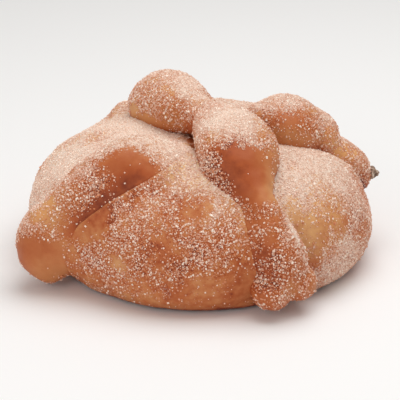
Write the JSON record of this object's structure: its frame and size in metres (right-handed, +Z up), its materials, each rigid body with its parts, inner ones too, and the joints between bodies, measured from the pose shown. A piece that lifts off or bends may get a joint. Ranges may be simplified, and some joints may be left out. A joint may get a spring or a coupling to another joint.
{
  "type": "sugared sweet bread loaf",
  "caption": "Small round sweet bread, domed, with two bone-shaped dough strips crossed over the top, coated in granulated sugar.",
  "frame": {"origin": "middle of the flat base that the loaf stands on", "axes": "+Z up, front of the loaf faces -Y, +X to the right of someone who faces the front"},
  "size_m": [0.125, 0.1224, 0.0613],
  "materials": {
    "loaf_crust": "baked bread crust, golden tan with browner patches, coated with granulated sugar",
    "strip_crust": "baked bread crust, orange brown, bare and smooth in patches, coated with granulated sugar on top"
  },
  "bodies": {
    "root": {"loaf": "loaf_crust", "lower_strip": "strip_crust", "upper_strip": "strip_crust"}
  },
  "joints": []
}
